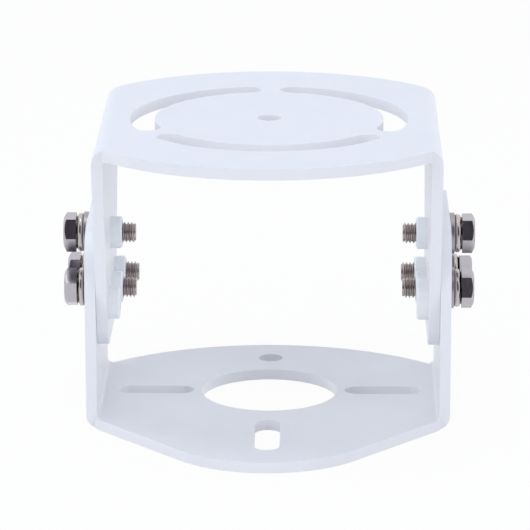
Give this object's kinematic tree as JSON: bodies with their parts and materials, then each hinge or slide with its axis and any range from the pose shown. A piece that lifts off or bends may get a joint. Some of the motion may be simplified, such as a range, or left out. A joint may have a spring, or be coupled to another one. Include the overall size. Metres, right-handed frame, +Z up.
{
  "type": "camera pole mount bracket",
  "caption": "Two folded steel U brackets, bolted together through curved slots, that hold a camera at a set tilt.",
  "frame": {"origin": "centre of the base plate's round hole, at the plate's underside", "axes": "+Z up through the hole, +Y to the back, +X to the right; the base plate's nose points to -Y"},
  "size_m": [0.1156, 0.1236, 0.0826],
  "materials": {
    "bracket_coat": "satin white powder coat",
    "nut_coat": "satin white powder coat",
    "bolt_steel": "bright, lightly worn",
    "washer_steel": "bright, turned"
  },
  "bodies": {
    "lower": {"lower_bracket": "bracket_coat"},
    "upper": {"upper_bracket": "bracket_coat", "left_top_nut": "nut_coat", "left_back_nut": "nut_coat", "left_pivot_nut": "nut_coat", "left_front_nut": "nut_coat", "right_top_nut": "nut_coat", "right_back_nut": "nut_coat", "right_pivot_nut": "nut_coat", "right_front_nut": "nut_coat", "left_top_bolt": "bolt_steel", "left_top_spring_washer": "washer_steel", "left_top_flat_washer": "washer_steel", "left_back_bolt": "bolt_steel", "left_back_spring_washer": "washer_steel", "left_back_flat_washer": "washer_steel", "left_pivot_bolt": "bolt_steel", "left_pivot_spring_washer": "washer_steel", "left_pivot_flat_washer": "washer_steel", "right_top_bolt": "bolt_steel", "right_top_spring_washer": "washer_steel", "right_top_flat_washer": "washer_steel", "right_back_bolt": "bolt_steel", "right_back_spring_washer": "washer_steel", "right_back_flat_washer": "washer_steel", "right_pivot_bolt": "bolt_steel", "right_pivot_spring_washer": "washer_steel", "right_pivot_flat_washer": "washer_steel"}
  },
  "joints": [
    {"name": "tilt", "type": "hinge", "parent": "lower", "child": "upper", "pos_m": [0, 0, 0.0334], "axis": [1, 0, 0], "range_deg": [-25, 25]}
  ]
}
